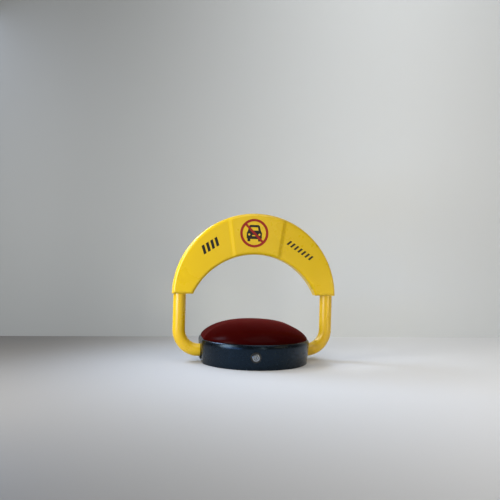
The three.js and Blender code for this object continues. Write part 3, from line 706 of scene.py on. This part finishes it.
def half_shell(name, side, has_panel):
    """One half of the cover: side is -1 for the front and 1 for the rear."""
    flat = COVER_HALF - COVER_ROUND
    levels = [(0, PARTING), (0, 5), (0, flat - 2)]
    for i in range(11):
        a = math.pi / 2 * i / 10
        levels.append((COVER_ROUND * (1 - math.cos(a)), flat + COVER_ROUND * math.sin(a)))

    def lift(x, z, depth):
        rise = panel_rise(x, z) if has_panel else 0
        forward = max((depth - flat) / COVER_ROUND, 0) ** 2
        return (x, side * (depth + rise * forward), z)

    rings = []
    for inset, depth in levels:
        ring, top, low = crescent(inset)
        rings.append([lift(x, z, depth) for x, z in ring])
    points, faces = skin(rings)
    columns, base = len(top), len(points)
    for start, end in zip(top, low):
        for i in range(ACROSS + 1):
            x, z = (s + (e - s) * i / ACROSS for s, e in zip(start, end))
            points.append(lift(x, z, COVER_HALF))
    step = ACROSS + 1
    for j in range(columns - 1):
        for i in range(ACROSS):
            a = base + j * step + i
            faces.append((a, a + 1, a + step + 1, a + step))
    shell = new_piece(name, points, faces, cover_plastic)
    # an open sheet: turned so that its flat face looks away from the parting plane
    face_normal = shell.data.polygons[-1].normal
    if face_normal.y * side < 0:
        shell.data.flip_normals()
    wall = shell.modifiers.new("wall", "SOLIDIFY")
    wall.thickness, wall.offset, wall.use_even_offset = COVER_WALL / 1000, -1, True
    keep_evaluated(shell)
    posts = [
        rod("y", POST_R, side * PARTING, side * POST_END, place, 32) for place in COVER_SCREWS
    ]
    carve(shell, "UNION", *posts)
    entries = [rod("z", TUBE_R + 0.7, 180, 205, (x, 0), 64) for x in (-LEG_X, LEG_X)]
    near, far = (-18, 1) if side < 0 else (-1, 30)
    bores = [rod("y", SCREW_BORE, near, far, place, 24) for place in COVER_SCREWS]
    if side > 0:
        bores += [rod("y", SCREW_SINK, SINK_FLOOR, far, place, 32) for place in COVER_SCREWS]
    carve(shell, "DIFFERENCE", *entries, *bores)
    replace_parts(shell, name)
    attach(shell, "arm")
    return shell


# polypropylene: a warm yellow that varies softly, with the mould's fine spark texture
cover_plastic = surface(
    "yellow_moulded_plastic", ("#e1b70b", "#e9c211"), 110, 1.1, 0.02, (0.26, 0.36),
    **{"IOR": 1.49, "Subsurface Weight": 0.04},
)
half_shell("cover_front", -1, True).name = "sign_cover_front"
half_shell("cover_rear", 1, False).name = "sign_cover_rear"


# ---- Printed signs ----
# Screen-printed inks on the cover: a red ring and bar over a black car seen from the front,
# hatch bars on the left, and a row of slanted bars on the right.
def printed(name, loops, depth, lift, material):
    """A thin film of ink from closed loops in (x, z). Loops inside a loop are holes."""
    work = bmesh.new()
    for loop in loops:
        corners = [work.verts.new((x / 1000, -depth / 1000, z / 1000)) for x, z in loop]
        for a, b in zip(corners, corners[1:] + corners[:1]):
            work.edges.new((a, b))
    bmesh.ops.triangle_fill(work, edges=work.edges, use_beauty=True)
    made = bmesh.ops.extrude_face_region(work, geom=work.faces[:])["geom"]
    moved = [v for v in made if isinstance(v, bmesh.types.BMVert)]
    bmesh.ops.translate(work, vec=(0, -lift / 1000, 0), verts=moved)
    bmesh.ops.recalc_face_normals(work, faces=work.faces)
    mesh = bpy.data.meshes.new(name)
    work.to_mesh(mesh)
    work.free()
    mesh.materials.append(material)
    film = bpy.data.objects.new(name, mesh)
    scene.collection.objects.link(film)
    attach(film, "arm")


def circle(x, z, r, steps=72, start=0.0, end=360.0):
    """A loop on a circle, or on the part of one between two angles in degrees."""
    whole = end - start >= 360
    count = steps if whole else steps + 1
    return [
        (x + r * math.cos(math.radians(start + (end - start) * i / steps)),
         z + r * math.sin(math.radians(start + (end - start) * i / steps)))
        for i in range(count)
    ]


def placed(loop, x, z, degrees):
    """A loop turned about its origin and moved to (x, z)."""
    c, s = math.cos(math.radians(degrees)), math.sin(math.radians(degrees))
    return [(x + px * c - pz * s, z + px * s + pz * c) for px, pz in loop]


# screen ink: nearly flat, with a soft satin shine and slightly uneven cover
black_ink = surface("black_print", ("#0c0b09", "#16140f"), 6, 0.7, 0.01, (0.35, 0.5), IOR=1.5)
red_ink = surface("red_print", ("#8f0804", "#9c0c06"), 6, 0.7, 0.01, (0.32, 0.45), IOR=1.5)
SIGN_X, SIGN_Z, SIGN_R, SIGN_BAND, BAR_WIDE = -9.5, 359.5, 40.0, 7.0, 6.4
INK_SINK, RED_FILM, CAR_FILM, BAR_FILM = 0.2, 0.36, 0.28, 0.3
panel_face = COVER_HALF + PANEL_PROUD
inside = SIGN_R - SIGN_BAND
half_chord = math.degrees(math.asin(BAR_WIDE / 2 / inside))
printed(
    "prohibition_ring",
    [
        circle(SIGN_X, SIGN_Z, SIGN_R, 96),
        circle(SIGN_X, SIGN_Z, inside, 44, -45 + half_chord, 135 - half_chord),
        circle(SIGN_X, SIGN_Z, inside, 44, 135 + half_chord, 315 - half_chord),
    ],
    panel_face - INK_SINK, RED_FILM, red_ink,
)
car_outline = [
    (-19, -23), (-11, -23), (-11, -16.5), (11, -16.5), (11, -23), (19, -23), (19, -16),
    (21.5, -14), (21.5, 1), (18.6, 6), (15, 20), (11.6, 23), (-11.6, 23), (-15, 20),
    (-18.6, 6), (-21.5, 1), (-21.5, -14), (-19, -16),
]
windscreen = [(-9.6, 16.4), (9.6, 16.4), (11.6, 7.4), (-11.6, 7.4)]
grille = [(-6, -8.4), (6, -8.4), (6, -5.4), (-6, -5.4)]
car_loops = [car_outline, windscreen, grille, circle(-14.4, -4, 3, 20), circle(14.4, -4, 3, 20)]
printed(
    "car_pictogram", [placed(loop, SIGN_X, SIGN_Z, 0) for loop in car_loops],
    panel_face - INK_SINK, CAR_FILM, black_ink,
)


def slanted_bars(count, pitch, wide, tall, lean_by):
    """A row of leaning bars centred on the origin."""
    loops = []
    for i in range(count):
        x = (i - (count - 1) / 2) * pitch
        loops.append([
            (x - wide / 2 - lean_by, -tall / 2), (x + wide / 2 - lean_by, -tall / 2),
            (x + wide / 2 + lean_by, tall / 2), (x - wide / 2 + lean_by, tall / 2),
        ])
    return loops


bar_rows = (
    ("hatch_bar", slanted_bars(4, 13.8, 8.2, 24, 3.2), (-131, 321.5, 33)),
    ("slant_bar", slanted_bars(7, 12.6, 5.6, 15, 2.4), (124, 314.5, -33)),
)
for name, row, place in bar_rows:
    for number, loop in enumerate(row, 1):
        printed(
            f"{name}_{number}", [placed(loop, *place)], COVER_HALF - INK_SINK, BAR_FILM, black_ink
        )


# ---- Lid ----
# A shallow dome moulded in deep red ABS, 3 mm thick. Its skin keeps the outline of the base at
# every height, so soft ridges run from the crown to the four corners. Two lugs at the back
# hang on the hinge pin, and a pad in front carries the catch.
LID_INSET, LID_RIM, LID_RISE, LID_SKIN = 5.4, 67.0, 50.0, 3.0
HINGE_Y, HINGE_Z, KNUCKLE, PIN = 137.0, 66.0, 3.4, 1.9
LUG_NEAR, LUG_FAR = 9.0, 13.4
PAD_FROM, PAD_TO = 12.0, 36.0


def dome_share(t):
    """The dome's height as a share of its rise, from the crown at 0 to the rim at 1."""
    return max(1 - t**2.5, 0) ** 0.68


def dome(inset, base_z, steps):
    """Rings from near the crown down to the rim."""
    rings = []
    for i in range(steps):
        t = math.sin(math.pi / 2 * (i + 1) / steps)
        rings.append(outline(inset, base_z + LID_RISE * dome_share(t), t))
    return rings


# deep red ABS: dark and even, only faintly glossy, with a painted red sheen that makes it a
# clearer red where seen at a slant, standing in for light on the dome's top
lid_red = surface(
    "deep_red_abs", ("#200202", "#290303"), 90, 8, 0.03, (0.4, 0.5),
    **{"IOR": 1.025, "Coat Weight": 0.03, "Coat Roughness": 0.2,
       # the red sheen is a painted sheen that lightens the top of the dome
       "Sheen Weight": 0.5, "Sheen Roughness": 0.5, "Sheen Tint": to_linear("#8c1208")},
)
outside = dome(LID_INSET, LID_RIM, 48)
hollow = dome(LID_INSET + LID_SKIN, LID_RIM - LID_SKIN, 36)
rim = [
    outline(LID_INSET, LID_RIM - 1.2), outline(LID_INSET, LID_RIM - LID_SKIN + 0.4),
    outline(LID_INSET + 0.4, LID_RIM - LID_SKIN),
]
lid = new_piece(
    "lid_shell",
    *skin(
        outside + rim + hollow[::-1],
        first_pole=(0, 0, LID_RIM + LID_RISE),
        last_pole=(0, 0, LID_RIM + LID_RISE - LID_SKIN),
    ),
    lid_red,
)


lug_loop = [
    (HINGE_Y + KNUCKLE * math.cos(math.radians(a)), HINGE_Z + KNUCKLE * math.sin(math.radians(a)))
    for a in range(-180, 1, 15)
] + [(HINGE_Y + KNUCKLE, 80.4), (HINGE_Y - KNUCKLE, 83.4)]
pad_loop = [(-131, 80.3), (-119, 80.3), (-119, 94), (-131, 87.2)]
carve(
    lid, "UNION",
    slab("x", -LUG_FAR, -LUG_NEAR, lug_loop), slab("x", LUG_NEAR, LUG_FAR, lug_loop),
    set_aside(*slab("x", PAD_FROM, PAD_TO, pad_loop)),
)
carve(lid, "DIFFERENCE", rod("x", PIN, -20, 20, (HINGE_Y, HINGE_Z), 32))
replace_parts(lid, "lid")
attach(lid, "lid")


# ---- Key lock ----
# A plated cam lock in a flat seat of the front wall releases the lid. Its bright bezel sits
# on a dark rubber ring, and the key's slot crosses the plug.
# chrome plate: mirror bright with a faint polish; its plate colour is darkened to grey, a painted
# reflection of the dark base around it
lock_plating = surface(
    "chrome_plate", ("#8d9297", "#a2a7ac"), 5, 1.0, 0.01, (0.1, 0.2), Metallic=1.0
)
bezel = new_piece(
    "lock_bezel",
    *set_aside(*turned(
        "y",
        [(5.6, -157.0), (6.1, -157.6), (8.8, -157.6), (9.7, -157.2), (10, -156.5), (10, -155.1),
         (7.8, -155.1), (7.8, -130), (5.6, -130)],
        (0, LOCK_Z), 64,
    )),
    lock_plating, 25,
)
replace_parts(bezel, "lock_body")
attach(bezel, "base")
plug = new_piece(
    "lock_plug_turned",
    *set_aside(*turned(
        "y",
        [(0, -157.9), (4.8, -157.9), (5.2, -157.5), (5.2, -127), (3, -127), (3, -122.5),
         (0, -122.5)],
        (0, LOCK_Z), 48,
    )),
    lock_plating, 25,
)
carve(plug, "DIFFERENCE", set_aside(*block(-0.9, 0.9, -160, -140, LOCK_Z - 3.5, LOCK_Z + 3.5)))
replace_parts(plug, "lock_plug")
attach(plug, "lock_plug")
seal = new_piece(
    "lock_seal",
    *set_aside(*turned(
        "y",
        [(10.6, -156.4), (11.2, -156.8), (13.4, -156.8), (14, -156.3), (14, -155.1),
         (10.6, -155.1)],
        (0, LOCK_Z), 64,
    )),
    rubber,
)
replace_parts(seal, "lock_seal_ring")
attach(seal, "base")


# ---- Screws and bolts ----
# Zinc-plated steel: countersunk screws under the plate, pan heads behind the sign cover and
# on the brackets, and hexagon bolts through the bearing feet and the ends of the hoop.
def screw_tree():
    """One screw at every point of a mesh: a tapered head, a shank and a crossed recess."""
    vector = "NodeSocketVector"
    tree, given = new_tree(
        "screws",
        **{
            "Head Radius": (FLOAT, 0.004), "Crown Radius": (FLOAT, 0.003),
            "Head Height": (FLOAT, 0.0025), "Head Sides": (WHOLE, 32),
            "Shank Radius": (FLOAT, 0.002), "Shank Length": (FLOAT, 0.01),
            "Recess": (vector, (0.004, 0.0009, 0.002)), "Crossed": ("NodeSocketBool", True),
            "Turn": (vector, (0, 0, 0)), "Material": (SOCKET_MATERIAL, None),
        },
    )
    head = add_node(
        tree, "GeometryNodeMeshCone",
        {"Vertices": given["Head Sides"], "Radius Top": given["Crown Radius"],
         "Radius Bottom": given["Head Radius"], "Depth": given["Head Height"]},
    ).outputs[0]
    bar = add_node(
        tree, "GeometryNodeMeshCone",
        {"Vertices": 24, "Radius Top": given["Shank Radius"],
         "Radius Bottom": given["Shank Radius"], "Depth": given["Shank Length"]},
    ).outputs[0]
    shank = add_node(
        tree, "GeometryNodeTransform",
        {"Geometry": bar, "Rotation": (math.pi, 0, 0), "Translation": (0, 0, 0.0004)},
    ).outputs[0]
    crown = add_node(tree, "ShaderNodeCombineXYZ", {"Z": given["Head Height"]}).outputs[0]
    slots = []
    for turn in (0, math.pi / 2):
        cube = add_node(tree, "GeometryNodeMeshCube", {"Size": given["Recess"]}).outputs[0]
        slots.append(add_node(
            tree, "GeometryNodeTransform",
            {"Geometry": cube, "Rotation": (0, 0, turn), "Translation": crown},
        ).outputs[0])
    solid = add_node(tree, "GeometryNodeMeshBoolean", operation="UNION", solver="EXACT")
    for part in (head, shank):
        tree.links.new(part, solid.inputs["Mesh 2"])
    driven = add_node(
        tree, "GeometryNodeMeshBoolean", {"Mesh 1": solid.outputs[0]},
        operation="DIFFERENCE", solver="EXACT",
    )
    for slot in slots:
        tree.links.new(slot, driven.inputs["Mesh 2"])
    chosen = add_node(
        tree, "GeometryNodeSwitch",
        {"Switch": given["Crossed"], "False": solid.outputs[0], "True": driven.outputs[0]},
        input_type="GEOMETRY",
    ).outputs[0]
    copies = add_node(
        tree, "GeometryNodeInstanceOnPoints",
        {"Points": given["Geometry"], "Instance": chosen, "Rotation": given["Turn"]},
    ).outputs[0]
    end_tree(tree, copies, given["Material"])
    return tree


screws = screw_tree()
HEAD_BACK, HEAD_DOWN = (-math.pi / 2, 0, 0), (math.pi, 0, 0)
HEXAGON = 6


def fit_screws(name, body, places, head, shank, turn=(0, 0, 0), recess=0.0, sides=32):
    """Places are where each head's seat is, in millimetres. Head is the radius at the seat,
    the radius at the crown and the height, and shank is a radius and a length."""
    mesh = bpy.data.meshes.new(name)
    mesh.from_pydata([[c / 1000 for c in place] for place in places], [], [])
    holder = bpy.data.objects.new(name, mesh)
    scene.collection.objects.link(holder)
    piece = grow(
        holder, screws, zinc_plate,
        **{
            "Head Radius": head[0] / 1000, "Crown Radius": head[1] / 1000,
            "Head Height": head[2] / 1000, "Head Sides": sides,
            "Shank Radius": shank[0] / 1000, "Shank Length": shank[1] / 1000,
            "Recess": (recess * 4 / 1000, recess / 1000, head[2] * 1.1 / 1000),
            "Crossed": recess > 0, "Turn": turn,
        },
    )
    shade(piece)
    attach(piece, body)
    return piece


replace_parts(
    fit_screws(
        "sign_cover_screws", "arm", [(x, 19.3, z) for x, z in COVER_SCREWS],
        (3.7, 3.1, 2.7), (2, 34), HEAD_BACK, recess=1.0,
    ),
    *[f"cover_screw_{number}" for number in range(1, 6)],
)
ring_of_screws = [math.radians(degrees) for degrees in SCREW_ANGLES]
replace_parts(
    fit_screws(
        "plate_screws", "base",
        [(SCREW_CIRCLE * math.cos(a), SCREW_CIRCLE * math.sin(a), 3.4) for a in ring_of_screws],
        (2, 5, 3.1), (2, 16), HEAD_DOWN, recess=1.1,
    ),
    *[f"housing_screw_{number}" for number in range(1, 5)],
)
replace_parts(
    fit_screws(
        "hoop_end_bolts", "arm", [(side * 128, 0, AXIS_Z + 17.9) for side in (-1, 1)],
        (7.5, 7.1, 5.3), (4, 24.5), sides=HEXAGON,
    ),
    "hub_bolt_left", "hub_bolt_right",
)
fit_screws(
    "bearing_bolts", "base", [(x, y, 12.05) for x in (-106, 106) for y in (-33, 33)],
    (5.6, 5.3, 4.2), (3, 11.5), sides=HEXAGON,
)
bracket_feet = [(-18, -45), (18, -45), (-7, 38), (7, 38), (-16, 136), (16, 136)]
fit_screws(
    "bracket_screws", "base", [(x, y, 7.35) for x, y in bracket_feet],
    (3.6, 2.9, 2.2), (1.8, 6.8), recess=0.9,
)
